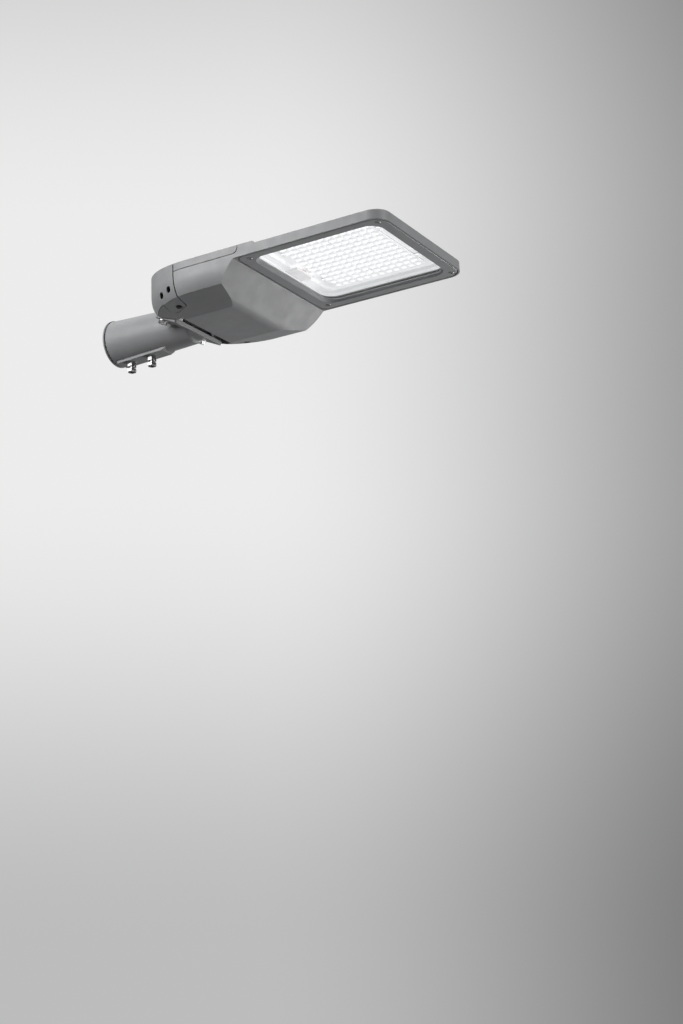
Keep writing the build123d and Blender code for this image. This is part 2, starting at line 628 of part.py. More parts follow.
with BuildPart() as housing:
    # Gear housing and shoulder
    add(outer_form)
    add(ramp_wedge(0), mode=Mode.SUBTRACT)
    with BuildSketch(Plane.XZ):
        with BuildLine():
            Polyline(
                (SHOULDER_X - SHOULDER_RUN, CROWN_Z),
                (SHOULDER_X, HEAD_TOP_Z),
                (NOSE_X, HEAD_TOP_Z),
                (NOSE_X, CLEAR_Z),
                (SHOULDER_X - SHOULDER_RUN, CLEAR_Z),
                close=True,
            )
        make_face()
    extrude(amount=HALF_WIDTH + RIM, both=True, mode=Mode.SUBTRACT)
    # Slab round the light engine, with its plateau and fins
    add(slab.part)
    plateau_x = SHOULDER_X - SHOULDER_RUN
    loft(
        sections=[
            plan_outline((plateau_x, NOSE_X - 6), HALF_WIDTH - 6, 1, 20, HEAD_TOP_Z),
            plan_outline((plateau_x, NOSE_X - 16), HALF_WIDTH - 28, 1, 12, PLATEAU_Z),
        ]
    )
    for index in range(FIN_COUNT):
        fin_y = (index - (FIN_COUNT - 1) / 2) * FIN_PITCH
        with BuildSketch(Plane.XZ.offset(-fin_y - FIN_THICKNESS / 2)):
            with BuildLine():
                Polyline(
                    (plateau_x, PLATEAU_Z - 1),
                    (plateau_x, PLATEAU_Z + FIN_HEIGHT),
                    (NOSE_X - 52, PLATEAU_Z + FIN_HEIGHT),
                    (NOSE_X - 24, PLATEAU_Z - 1),
                    close=True,
                )
            make_face()
        extrude(amount=FIN_THICKNESS)
    # Light chamber, from the cover frame's recess up to the heat spreader
    extrude(frame_outline(0, SEAM_Z), amount=FRAME_THICKNESS, mode=Mode.SUBTRACT)
    glass_recess = window_outline(GLASS_LAP + DROP_FIT, FRAME_TOP_Z)
    extrude(glass_recess, amount=LEDGE_Z - FRAME_TOP_Z, mode=Mode.SUBTRACT)
    extrude(window_outline(0.5, LEDGE_Z), amount=LAMP_DEPTH / 2, mode=Mode.SUBTRACT)
    extrude(window_outline(-12.0, LEDGE_Z), amount=LAMP_DEPTH, mode=Mode.SUBTRACT)
    # Rear cap and lid are cut away
    block((TAIL_X - 1, CAP_SEAM_X), (-HALF_WIDTH, HALF_WIDTH), (CHINE_Z, CLEAR_Z), mode=Mode.SUBTRACT)
    add(lid_zone.part, mode=Mode.SUBTRACT)
    for side in (-1, 1):
        extrude(lobe_outline(SEAM_GAP, side, DEEP_Z), amount=CLEAR_Z - DEEP_Z, mode=Mode.SUBTRACT)
    # Pocket for the tilt bracket, open below and behind
    block((TAIL_X - 1, POCKET_LIP_X), (-POCKET_HALF, POCKET_HALF), (DEEP_Z, CLEAR_Z), mode=Mode.SUBTRACT)
    block(
        (POCKET_LIP_X - 1, CAP_SEAM_X),
        (-POCKET_HALF, POCKET_HALF),
        (BOTTOM_Z + 4.0, CLEAR_Z),
        mode=Mode.SUBTRACT,
    )
    # Rim for the lid seal, then the gear compartment
    rim_half = HALF_WIDTH - RIM_INSET
    block((CAP_SEAM_X + 1, GEAR_FRONT_X + 5), (-rim_half, rim_half), (LID_SEAM_Z - 4, LID_RIM_Z))
    cavity_half = rim_half - LID_SEAL_WIDTH - 2.0
    add(bulkhead.part)
    add(gear_cavity.part, mode=Mode.SUBTRACT)
    block(
        (GEAR_REAR_X, GEAR_FRONT_X),
        (-cavity_half, cavity_half),
        (LID_SEAM_Z - 4.5, CLEAR_Z),
        mode=Mode.SUBTRACT,
    )
    # Cheeks that carry the tilt joint, with a lug for the rear cap's screw
    for side in (-1, 1):
        cheek = sorted((side * POCKET_HALF, side * (POCKET_HALF + CHEEK_WALL)))
        block((PIVOT_X - 20, CAP_SEAM_X + 1), cheek, (CHINE_Z - 3, PIVOT_Z + 30))
        lug = sorted((side * (POCKET_HALF + CHEEK_WALL - 1), side * (CAP_SCREW_Y + 8)))
        block((CAP_SCREW_X - 7, CAP_SEAM_X + 1), lug, (CHINE_Z + SEAM_GAP, CHINE_Z + 7))
    with BuildSketch(Plane.XZ):
        with Locations((PIVOT_X, PIVOT_Z), (STOP_X, STOP_Z)):
            Circle(4.0)
    extrude(amount=POCKET_HALF + CHEEK_WALL, both=True, mode=Mode.SUBTRACT)
    # Cable gland hole, wire way into the light chamber
    with BuildSketch(Plane.YZ.offset(CAP_SEAM_X - 1)):
        with Locations((GLAND_Y, GLAND_Z)):
            Circle(10.0)
    extrude(amount=PARTITION + 2, mode=Mode.SUBTRACT)
    block(WIRE_POCKET_X, (LEAD_Y - 9, LEAD_Y + 9), WIRE_POCKET_Z, mode=Mode.SUBTRACT)
    wire_way = Plane(origin=(GEAR_FRONT_X - 3, LEAD_Y, SEAM_Z - 1.5), x_dir=(0, 1, 0), z_dir=(20, 0, 17))
    with BuildSketch(wire_way):
        Circle(4.0)
    extrude(amount=32, mode=Mode.SUBTRACT)
    # Posts for the gear tray
    with BuildSketch(Plane.XY.offset(TRAY_Z)):
        with Locations(*TRAY_POSTS):
            Circle(4.5)
    extrude(amount=-POST_HEIGHT)
    # Screw holes
    with BuildSketch(Plane.XY.offset(TRAY_Z)):
        with Locations(*TRAY_POSTS):
            Circle(1.5)
    extrude(amount=-POST_HEIGHT + 1.5, mode=Mode.SUBTRACT)
    with BuildSketch(Plane.XY.offset(FRAME_TOP_Z)):
        with Locations(*FRAME_SCREWS):
            Circle(2.0)
    extrude(amount=9, mode=Mode.SUBTRACT)
    with BuildSketch(Plane.XY.offset(LAMP_TOP_Z)):
        with Locations(*BOARD_SCREWS):
            Circle(1.5)
    extrude(amount=3, mode=Mode.SUBTRACT)
    with BuildSketch(Plane.XY.offset(CHINE_Z)):
        with Locations((CAP_SCREW_X, -CAP_SCREW_Y), (CAP_SCREW_X, CAP_SCREW_Y)):
            Circle(2.0)
    extrude(amount=9, mode=Mode.SUBTRACT)
    with BuildSketch(Plane.XY.offset(CLEAR_Z)):
        with Locations((LID_SCREW_X, -LID_SCREW_Y), (LID_SCREW_X, LID_SCREW_Y)):
            Circle(2.5 + DROP_FIT)
    extrude(amount=-(CLEAR_Z - CROWN_Z + 24), mode=Mode.SUBTRACT)
housing.part.label = "housing"
export_step(housing.part, "parts/housing.step")


def slice_of(form, x_range, y_range, z_range):
    """The part of a form that lies inside a box."""
    with BuildPart() as piece:
        add(form)
        block(x_range, y_range, z_range, mode=Mode.INTERSECT)
    return piece.part


def hinge_barrel(y_range, reach):
    """A hinge barrel with a gusset that reaches forward, or backward where reach is negative."""
    foot_z = CROWN_Z - CROWN_RISE * (HINGE_SPACING / 2 / HALF_WIDTH) ** 2 - 1.6
    with BuildPart() as barrel:
        with BuildSketch(Plane.XZ.offset(-y_range[1])):
            with BuildLine():
                Polyline(
                    (CAP_SEAM_X + reach / 15, foot_z),
                    (CAP_SEAM_X + reach, foot_z),
                    (CAP_SEAM_X, HINGE_Z + HINGE_RADIUS - 1),
                    close=True,
                )
            make_face()
            with Locations((CAP_SEAM_X, HINGE_Z)):
                Circle(HINGE_RADIUS)
        extrude(amount=y_range[1] - y_range[0])
        with BuildSketch(Plane.XZ.offset(-y_range[1])):
            with Locations((CAP_SEAM_X, HINGE_Z)):
                Circle(PIN_RADIUS + (RUN_FIT if reach > 0 else 0))
        extrude(amount=y_range[1] - y_range[0], mode=Mode.SUBTRACT)
    return barrel.part


HINGE_SPOTS = (-HINGE_SPACING / 2, HINGE_SPACING / 2)
HINGE_REACH = 15.0
KNUCKLE_GAP = 0.35
CAP_NOSE_X = CAP_SEAM_X - SEAM_GAP
SKIRT = HALF_WIDTH + 1.0

# ---------------------------------------------------------------- rear cap
CAP_BASE_Z = CHINE_Z + SEAM_GAP
TUBE_ARCH_RADIUS = 46.0
TUBE_ARCH_SHOULDER_Z = 38.0
CAP_SCREW_SPOTS = [(CAP_SCREW_X, -CAP_SCREW_Y), (CAP_SCREW_X, CAP_SCREW_Y)]
CAP_SCREW_SEAT_Z = CHINE_Z - 1.6
ACCESS_RADIUS = 4.6

with BuildPart() as lobes:
    for side in (-1, 1):
        extrude(lobe_outline(0, side, DEEP_Z), amount=CAP_BASE_Z - DEEP_Z)
    add(outer_form, mode=Mode.INTERSECT)
    block((TAIL_X, CAP_NOSE_X), (-SKIRT, SKIRT), (DEEP_Z, CLEAR_Z), mode=Mode.INTERSECT)

with BuildPart() as rear_cap:
    add(slice_of(outer_form, (TAIL_X - 1, CAP_NOSE_X), (-SKIRT, SKIRT), (CAP_BASE_Z, CLEAR_Z)))
    add(cap_form, mode=Mode.SUBTRACT)
    for side in (-1, 1):
        return_wall = sorted((side * POCKET_HALF, side * (POCKET_HALF + CAP_WALL)))
        add(slice_of(outer_form, (TAIL_X, PIVOT_X - 20.5), return_wall, (CAP_BASE_Z, CLEAR_Z)))
    block(
        (TAIL_X - 1, PIVOT_X - 20.5),
        (-POCKET_HALF, POCKET_HALF),
        (CHINE_Z - 1, TUBE_ARCH_SHOULDER_Z),
        mode=Mode.SUBTRACT,
    )
    with BuildSketch(Plane.YZ.offset(TAIL_X - 1)):
        Circle(TUBE_ARCH_RADIUS)
    extrude(amount=8, mode=Mode.SUBTRACT)
    add(lobes.part)
    with BuildSketch(Plane.XY.offset(CAP_SCREW_SEAT_Z)):
        with Locations(*CAP_SCREW_SPOTS):
            Circle(5.8)
    extrude(amount=-20, mode=Mode.SUBTRACT)
    with BuildSketch(Plane.XY.offset(CAP_SCREW_SEAT_Z)):
        with Locations(*CAP_SCREW_SPOTS):
            Circle(2.0 + DROP_FIT / 2)
    extrude(amount=5, mode=Mode.SUBTRACT)
    for side in (-1, 1):
        with BuildSketch(Plane.XZ.offset(-side * (CHINE_Y - 25))):
            with Locations((PIVOT_X, PIVOT_Z), (STOP_X, STOP_Z)):
                Circle(ACCESS_RADIUS)
        extrude(amount=-side * 50, mode=Mode.SUBTRACT)
    for spot in HINGE_SPOTS:
        for side in (-1, 1):
            near = spot + side * (KNUCKLE_WIDTH / 2 + KNUCKLE_GAP)
            far = near + side * EAR_WIDTH
            add(hinge_barrel(sorted((near, far)), -HINGE_REACH))
rear_cap.part.label = "rear_cap"
export_step(rear_cap.part, "parts/rear_cap.step")

with BuildPart() as rear_cap_screws:
    with BuildSketch(Plane.XY.offset(CAP_SCREW_SEAT_Z)):
        with Locations(*CAP_SCREW_SPOTS):
            Circle(3.8)
    extrude(amount=-2.6)
    chamfer(rear_cap_screws.faces().group_by(Axis.Z)[0].edges(), 0.7)
    with BuildSketch(Plane.XY.offset(CAP_SCREW_SEAT_Z - 2.6)):
        with Locations(*CAP_SCREW_SPOTS):
            RegularPolygon(1.5, 6, major_radius=False)
    extrude(amount=1.4, mode=Mode.SUBTRACT)
    with BuildSketch(Plane.XY.offset(CAP_SCREW_SEAT_Z)):
        with Locations(*CAP_SCREW_SPOTS):
            Circle(2.0)
    extrude(amount=9)
rear_cap_screws.part.label = "rear_cap_screws"
export_step(rear_cap_screws.part, "parts/rear_cap_screws.step")

# ---------------------------------------------------------------- lid, its hinge and seal
LID_SCREW_SPOTS = [(LID_SCREW_X, -LID_SCREW_Y), (LID_SCREW_X, LID_SCREW_Y)]
LID_SCREW_SEAT_Z = CROWN_Z - CROWN_RISE * (LID_SCREW_Y / HALF_WIDTH) ** 2 - 1.5
SEAL_Z = LID_RIM_Z
SEAL_TOP_Z = LID_RIM_Z + LID_SEAL


def seal_outline(inset, z):
    """Outline round the gear compartment's mouth, set in from the seal's outer edge."""
    x_range = (CAP_SEAM_X + 2 + inset, GEAR_FRONT_X + 4.5 - inset)
    return plan_outline(x_range, HALF_WIDTH - RIM_INSET - 1 - inset, 5, 5, z)


with BuildPart() as lid_void:
    add(tail_form(LID_WALL))
    with BuildSketch(Plane.XY.offset(DEEP_Z)):
        skirt_nose = LID_NOSE_X - LID_WALL
        with Locations(((TAIL_X + skirt_nose) / 2, 0)):
            Rectangle(skirt_nose - TAIL_X, 2 * SKIRT)
        with Locations(((TAIL_X + SHOULDER_X) / 2, 0)):
            Rectangle(SHOULDER_X - TAIL_X, 2 * (BULKHEAD_HALF + 0.6))
    extrude(amount=CLEAR_Z - DEEP_Z, mode=Mode.INTERSECT)

with BuildPart() as tongue:
    add(tail_form(LID_WALL - 1))
    extrude(seal_outline(1.0, SEAL_TOP_Z), amount=CLEAR_Z - SEAL_TOP_Z, mode=Mode.INTERSECT)
    extrude(seal_outline(3.0, SEAL_TOP_Z - 1), amount=CLEAR_Z, mode=Mode.SUBTRACT)

with BuildPart() as lid:
    with BuildSketch(Plane.XZ) as lid_side:
        rear = CAP_SEAM_X + SEAM_GAP
        nose = LID_NOSE_X - SEAM_GAP
        base = LID_SEAM_Z + SEAM_GAP
        with Locations(((rear + nose) / 2, (base + CLEAR_Z) / 2)):
            Rectangle(nose - rear, CLEAR_Z - base)
        fillet(lid_side.vertices().sort_by_distance((nose, base))[0], LID_CORNER)
    extrude(amount=SKIRT, both=True)
    add(outer_form, mode=Mode.INTERSECT)
    add(lid_void.part, mode=Mode.SUBTRACT)
    add(tongue.part)
    with BuildSketch(Plane.XY.offset(LID_SCREW_SEAT_Z - 3.6)):
        with Locations(*LID_SCREW_SPOTS):
            Circle(8.0)
        with Locations((nose - 20, 0)):
            Rectangle(40, 2 * SKIRT, mode=Mode.INTERSECT)
    extrude(amount=3.5)
    with BuildSketch(Plane.XY.offset(LID_SCREW_SEAT_Z)):
        with Locations(*LID_SCREW_SPOTS):
            Circle(6.0)
    extrude(amount=20, mode=Mode.SUBTRACT)
    with BuildSketch(Plane.XY.offset(LID_SCREW_SEAT_Z - 10)):
        with Locations(*LID_SCREW_SPOTS):
            Circle(2.5)
    extrude(amount=20, mode=Mode.SUBTRACT)
    for spot in HINGE_SPOTS:
        add(hinge_barrel((spot - KNUCKLE_WIDTH / 2, spot + KNUCKLE_WIDTH / 2), HINGE_REACH))
lid.part.label = "lid"
export_step(lid.part, "parts/lid.step")

with BuildPart() as lid_screws:
    with BuildSketch(Plane.XY.offset(LID_SCREW_SEAT_Z)):
        with Locations(*LID_SCREW_SPOTS):
            Circle(4.6)
    extrude(amount=3.2)
    fillet(lid_screws.faces().group_by(Axis.Z)[-1].edges(), 1.2)
    with BuildSketch(Plane.XY.offset(LID_SCREW_SEAT_Z + 3.2)):
        with Locations(*LID_SCREW_SPOTS):
            RegularPolygon(1.9, 6, major_radius=False)
    extrude(amount=-1.8, mode=Mode.SUBTRACT)
    with BuildSketch(Plane.XY.offset(LID_SCREW_SEAT_Z)):
        with Locations(*LID_SCREW_SPOTS):
            Circle(2.5)
    extrude(amount=-12)
lid_screws.part.label = "lid_screws"
export_step(lid_screws.part, "parts/lid_screws.step")

with BuildPart() as hinge_pins:
    pin_half = KNUCKLE_WIDTH / 2 + KNUCKLE_GAP + EAR_WIDTH + 1
    for spot in HINGE_SPOTS:
        with BuildSketch(Plane.XZ.offset(-spot - pin_half)):
            with Locations((CAP_SEAM_X, HINGE_Z)):
                Circle(PIN_RADIUS)
        extrude(amount=2 * pin_half)
hinge_pins.part.label = "hinge_pins"
export_step(hinge_pins.part, "parts/hinge_pins.step")

with BuildPart() as lid_seal:
    extrude(seal_outline(0, SEAL_Z), amount=LID_SEAL)
    extrude(seal_outline(LID_SEAL_WIDTH, SEAL_Z), amount=LID_SEAL, mode=Mode.SUBTRACT)
lid_seal.part.label = "lid_seal"
export_step(lid_seal.part, "parts/lid_seal.step")


# ---------------------------------------------------------------- cover frame, glass and seals
def bevel_outline(grow, z):
    """Inner lip of the cover frame where its bevel ends, grown on every side."""
    x_range = (WINDOW_REAR_X + BEVEL_REAR - grow, WINDOW_NOSE_X - BEVEL_SIDE + grow)
    corner = WINDOW_RADIUS - BEVEL_SIDE + grow
    return plan_outline(x_range, WINDOW_HALF - BEVEL_SIDE + grow, corner, corner, z)


with BuildPart() as cover_frame:
    extrude(frame_outline(-SEAM_GAP, SEAM_Z), amount=FRAME_THICKNESS)
    chamfer(cover_frame.faces().sort_by(Axis.Z)[0].edges(), 0.7)
    loft(
        sections=[window_outline(0, SEAM_Z), bevel_outline(0, SEAM_Z + BEVEL_DEPTH)],
        mode=Mode.SUBTRACT,
    )
    extrude(bevel_outline(0, SEAM_Z + BEVEL_DEPTH), amount=FRAME_THICKNESS, mode=Mode.SUBTRACT)
    with BuildSketch(Plane.XY.offset(SEAM_Z)):
        with Locations(*FRAME_SCREWS):
            Circle(4.6)
    extrude(amount=1.6, mode=Mode.SUBTRACT)
    with BuildSketch(Plane.XY.offset(SEAM_Z)):
        with Locations(*FRAME_SCREWS):
            Circle(2.0 + DROP_FIT / 2)
    extrude(amount=FRAME_THICKNESS, mode=Mode.SUBTRACT)
cover_frame.part.label = "cover_frame"
export_step(cover_frame.part, "parts/cover_frame.step")

with BuildPart() as cover_frame_screws:
    with BuildSketch(Plane.XY.offset(SEAM_Z + 1.6)):
        with Locations(*FRAME_SCREWS):
            Circle(3.8)
    extrude(amount=-2.4)
    fillet(cover_frame_screws.faces().group_by(Axis.Z)[0].edges(), 1.0)
    with BuildSketch(Plane.XY.offset(SEAM_Z - 0.8)):
        with Locations(*FRAME_SCREWS):
            RegularPolygon(1.5, 6, major_radius=False)
    extrude(amount=1.4, mode=Mode.SUBTRACT)
    with BuildSketch(Plane.XY.offset(SEAM_Z + 1.6)):
        with Locations(*FRAME_SCREWS):
            Circle(2.0)
    extrude(amount=11)
cover_frame_screws.part.label = "cover_frame_screws"
export_step(cover_frame_screws.part, "parts/cover_frame_screws.step")

with BuildPart() as glass_seal:
    extrude(window_outline(GLASS_LAP - 0.5, FRAME_TOP_Z), amount=SEAL_THICKNESS)
    extrude(bevel_outline(0.4, FRAME_TOP_Z), amount=SEAL_THICKNESS, mode=Mode.SUBTRACT)
glass_seal.part.label = "glass_seal"
export_step(glass_seal.part, "parts/glass_seal.step")

with BuildPart() as glass:
    extrude(window_outline(GLASS_LAP, GLASS_Z), amount=GLASS_THICKNESS)
    chamfer(glass.faces().sort_by(Axis.Z)[0].edges(), 0.5)
glass.part.label = "glass"
export_step(glass.part, "parts/glass.step")

with BuildPart() as chamber_seal:
    extrude(window_outline(GLASS_LAP - 0.5, GLASS_TOP_Z), amount=SEAL_THICKNESS)
    extrude(window_outline(1.0, GLASS_TOP_Z), amount=SEAL_THICKNESS, mode=Mode.SUBTRACT)
chamber_seal.part.label = "chamber_seal"
export_step(chamber_seal.part, "parts/chamber_seal.step")


# ---------------------------------------------------------------- light engine
def engine_outline(z):
    """Outline shared by the LED board and the lens plate, with an ear at each outer screw."""
    with BuildSketch(Plane.XY.offset(z)) as outline:
        with Locations((ENGINE_X, 0)):
            RectangleRounded(2 * LENS_HALF_X, 2 * LENS_HALF_Y, 3)
        with Locations(*[spot for spot in BOARD_SCREWS if spot[0] != ENGINE_X]):
            Circle(5.5)
        with Locations(*BOARD_SCREWS):
            Circle(1.5 + DROP_FIT / 2, mode=Mode.SUBTRACT)
    return outline.sketch


with BuildPart() as led_board:
    extrude(engine_outline(BOARD_Z), amount=BOARD_THICKNESS)
    with BuildSketch(Plane.XY.offset(BOARD_Z)):
        with Locations((ENGINE_X, 0)):
            with GridLocations(*LED_GRID):
                Rectangle(LED_SIZE, LED_SIZE)
    extrude(amount=-LED_HEIGHT)
led_board.part.label = "led_board"
export_step(led_board.part, "parts/led_board.step")

with BuildPart() as lens_plate:
    lens_ball = (LENS_RADIUS**2 + LENS_HEIGHT**2) / (2 * LENS_HEIGHT)
    with Locations((ENGINE_X, 0, LENS_PLATE_Z - LENS_HEIGHT + lens_ball)):
        with GridLocations(*LED_GRID):
            Sphere(lens_ball)
    block(
        (ENGINE_X - LENS_HALF_X, ENGINE_X + LENS_HALF_X),
        (-LENS_HALF_Y, LENS_HALF_Y),
        (LENS_PLATE_Z - LENS_HEIGHT, LENS_PLATE_Z),
        mode=Mode.INTERSECT,
    )
    extrude(engine_outline(LENS_PLATE_Z), amount=LENS_PLATE)
    with BuildSketch(Plane.XY.offset(BOARD_Z)):
        with Locations((ENGINE_X, 0)):
            with GridLocations(*LED_GRID):
                Rectangle(LED_SIZE + 0.8, LED_SIZE + 0.8)
    extrude(amount=-LED_HEIGHT - 0.4, mode=Mode.SUBTRACT)
lens_plate.part.label = "lens_plate"
export_step(lens_plate.part, "parts/lens_plate.step")

with BuildPart() as board_screws:
    with BuildSketch(Plane.XY.offset(LENS_PLATE_Z)):
        with Locations(*BOARD_SCREWS):
            Circle(2.75)
            RegularPolygon(1.0, 6, major_radius=False, mode=Mode.SUBTRACT)
    extrude(amount=-2)
    with BuildSketch(Plane.XY.offset(LENS_PLATE_Z - 0.8)):
        with Locations(*BOARD_SCREWS):
            Circle(1.5)
    extrude(amount=LENS_PLATE + BOARD_THICKNESS + 2.8)
board_screws.part.label = "board_screws"
export_step(board_screws.part, "parts/board_screws.step")

# ---------------------------------------------------------------- leads into the light chamber
CONNECTOR_NOSE_X = ENGINE_X - LENS_HALF_X - 0.5
CONNECTOR_REAR_X = CONNECTOR_NOSE_X - 7
COVER_X = (WINDOW_REAR_X + 0.3, CONNECTOR_REAR_X - 1.0)
COVER_Y = (LEAD_Y - 26.0, LEAD_Y + 22.0)
COVER_WALL = 1.2
COVER_Z = LEDGE_Z + 0.8
STEP_Z = LEDGE_Z + LAMP_DEPTH / 2
LEAD_TOP_Z = LAMP_TOP_Z - 2.0

with BuildPart() as board_connector:
    block((CONNECTOR_REAR_X, CONNECTOR_NOSE_X), (LEAD_Y - 7, LEAD_Y + 7), (STEP_Z - 0.7, LAMP_TOP_Z))
    chamfer(board_connector.faces().sort_by(Axis.Z)[0].edges(), 0.6)
board_connector.part.label = "board_connector"
export_step(board_connector.part, "parts/board_connector.step")

with BuildPart() as lead_cover:
    block(COVER_X, COVER_Y, (COVER_Z, STEP_Z))
    chamfer(lead_cover.faces().sort_by(Axis.Z)[0].edges(), 0.8)
    cover_inside = [(low + COVER_WALL, high - COVER_WALL) for low, high in (COVER_X, COVER_Y)]
    block(*cover_inside, (COVER_Z + COVER_WALL, STEP_Z), mode=Mode.SUBTRACT)
lead_cover.part.label = "lead_cover"
export_step(lead_cover.part, "parts/lead_cover.step")

DRIVER_REAR_X = TRAY_REAR_X + 4.0
DRIVER_NOSE_X = DRIVER_REAR_X + DRIVER_WIDTH
WAY_SLOPE = 17.0 / 20.0
way_x, way_z = GEAR_FRONT_X - 3, SEAM_Z - 1.5
LEAD_LOW_Z = way_z - 12.5 * WAY_SLOPE
LEAD_RISE_X = way_x + (LEAD_TOP_Z - way_z) / WAY_SLOPE


def lead(y):
    """One insulated lead from the driver, up the wire way, to the board connector."""
    with BuildPart() as wire:
        with BuildLine() as route:
            FilletPolyline(
                (DRIVER_NOSE_X, y, LEAD_LOW_Z),
                (way_x - 12.5, y, LEAD_LOW_Z),
                (LEAD_RISE_X, y, LEAD_TOP_Z),
                (CONNECTOR_REAR_X, y, LEAD_TOP_Z),
                radius=24,
            )
        with BuildSketch(Plane(origin=route.line @ 0, z_dir=route.line % 0)):
            Circle(LEAD_RADIUS)
        sweep()
    return wire


red_lead = lead(LEAD_Y - 1.6)
red_lead.part.label = "red_lead"
export_step(red_lead.part, "parts/red_lead.step")

black_lead = lead(LEAD_Y + 1.6)
black_lead.part.label = "black_lead"
export_step(black_lead.part, "parts/black_lead.step")

# ---------------------------------------------------------------- gear tray and what stands on it
TRAY_TOP_Z = TRAY_Z + TRAY_THICKNESS
DRIVER_Y = (-32.0, -32.0 + DRIVER_LENGTH)
DRIVER_EAR = 8.0
DRIVER_SCREWS = [
    (DRIVER_REAR_X + DRIVER_WIDTH / 2, DRIVER_Y[0] - DRIVER_EAR / 2),
    (DRIVER_REAR_X + DRIVER_WIDTH / 2, DRIVER_Y[1] + DRIVER_EAR / 2),
]
SIDE_GEAR_Y = (-TRAY_HALF + 12.0, DRIVER_Y[0] - DRIVER_EAR - 4.0)
TERMINAL_X = (TRAY_NOSE_X - 26.0, TRAY_NOSE_X - 6.0)
TERMINAL_WAYS = 3
TERMINAL_PITCH = (SIDE_GEAR_Y[1] - SIDE_GEAR_Y[0]) / TERMINAL_WAYS
TERMINAL_SPOTS = [
    (x, SIDE_GEAR_Y[0] + (way + 0.5) * TERMINAL_PITCH)
    for x in (TERMINAL_X[0] + 5, TERMINAL_X[1] - 5)
    for way in range(TERMINAL_WAYS)
]
SURGE_X = (TRAY_REAR_X + 4.0, TERMINAL_X[0] - 4.0)
SURGE_Y = (SIDE_GEAR_Y[0], SIDE_GEAR_Y[0] + 20.0)

with BuildPart() as gear_tray:
    with BuildSketch(Plane.XY.offset(TRAY_Z)):
        with Locations(((TRAY_REAR_X + TRAY_NOSE_X) / 2, 0)):
            RectangleRounded(TRAY_NOSE_X - TRAY_REAR_X, 2 * TRAY_HALF, 4)
        with Locations(*TRAY_POSTS):
            Circle(1.5 + DROP_FIT / 2, mode=Mode.SUBTRACT)
        with Locations(*DRIVER_SCREWS):
            Circle(1.5, mode=Mode.SUBTRACT)
    extrude(amount=TRAY_THICKNESS)
gear_tray.part.label = "gear_tray"
export_step(gear_tray.part, "parts/gear_tray.step")


def pan_screws(spots, seat_z, length):
    """Small pan-head screws pointing down, their heads standing on the seat."""
    with BuildPart() as screws:
        with BuildSketch(Plane.XY.offset(seat_z)):
            with Locations(*spots):
                Circle(2.8)
                RegularPolygon(1.0, 6, major_radius=False, mode=Mode.SUBTRACT)
        extrude(amount=2)
        with BuildSketch(Plane.XY.offset(seat_z + 0.8)):
            with Locations(*spots):
                Circle(1.5)
        extrude(amount=-length - 0.8)
    return screws


tray_screws = pan_screws(TRAY_POSTS, TRAY_TOP_Z, TRAY_THICKNESS + POST_HEIGHT - 2)
tray_screws.part.label = "tray_screws"
export_step(tray_screws.part, "parts/tray_screws.step")

driver_screws = pan_screws(DRIVER_SCREWS, TRAY_TOP_Z + 3, 3 + TRAY_THICKNESS)
driver_screws.part.label = "driver_screws"
export_step(driver_screws.part, "parts/driver_screws.step")

with BuildPart() as driver:
    driver_x = (DRIVER_REAR_X, DRIVER_NOSE_X)
    block(driver_x, DRIVER_Y, (TRAY_TOP_Z, TRAY_TOP_Z + DRIVER_HEIGHT))
    fillet(driver.edges().filter_by(Axis.Y).group_by(Axis.Z)[-1], 4)
    ear_x = (DRIVER_REAR_X + 14, DRIVER_NOSE_X - 14)
    block(ear_x, (DRIVER_Y[0] - DRIVER_EAR, DRIVER_Y[1] + DRIVER_EAR), (TRAY_TOP_Z, TRAY_TOP_Z + 3))
    with BuildSketch(Plane.XY.offset(TRAY_TOP_Z)):
        with Locations(*DRIVER_SCREWS):
            Circle(1.5 + DROP_FIT / 2)
    extrude(amount=3, mode=Mode.SUBTRACT)
driver.part.label = "driver"
export_step(driver.part, "parts/driver.step")

with BuildPart() as surge_protector:
    block(SURGE_X, SURGE_Y, (TRAY_TOP_Z, TRAY_TOP_Z + 24))
    fillet(surge_protector.edges().filter_by(Axis.Z), 3)
    fillet(surge_protector.faces().sort_by(Axis.Z)[-1].edges(), 1.5)
surge_protector.part.label = "surge_protector"
export_step(surge_protector.part, "parts/surge_protector.step")

with BuildPart() as terminal_block:
    block(TERMINAL_X, SIDE_GEAR_Y, (TRAY_TOP_Z, TRAY_TOP_Z + 17))
    with BuildSketch(Plane.XY.offset(TRAY_TOP_Z + 17)):
        with Locations(*TERMINAL_SPOTS):
            Circle(2.8)
    extrude(amount=-7, mode=Mode.SUBTRACT)
    with BuildSketch(Plane.YZ.offset(TERMINAL_X[0])):
        with Locations(*[(y, TRAY_TOP_Z + 6) for x, y in TERMINAL_SPOTS[:TERMINAL_WAYS]]):
            Rectangle(5, 5)
    extrude(amount=6, mode=Mode.SUBTRACT)
terminal_block.part.label = "terminal_block"
export_step(terminal_block.part, "parts/terminal_block.step")

with BuildPart() as terminal_screws:
    with BuildSketch(Plane.XY.offset(TRAY_TOP_Z + 10)):
        with Locations(*TERMINAL_SPOTS):
            Circle(2.6)
    extrude(amount=3)
    with BuildSketch(Plane.XY.offset(TRAY_TOP_Z + 13)):
        with Locations(*TERMINAL_SPOTS):
            Rectangle(0.8, 6)
    extrude(amount=-1, mode=Mode.SUBTRACT)
terminal_screws.part.label = "terminal_screws"
export_step(terminal_screws.part, "parts/terminal_screws.step")

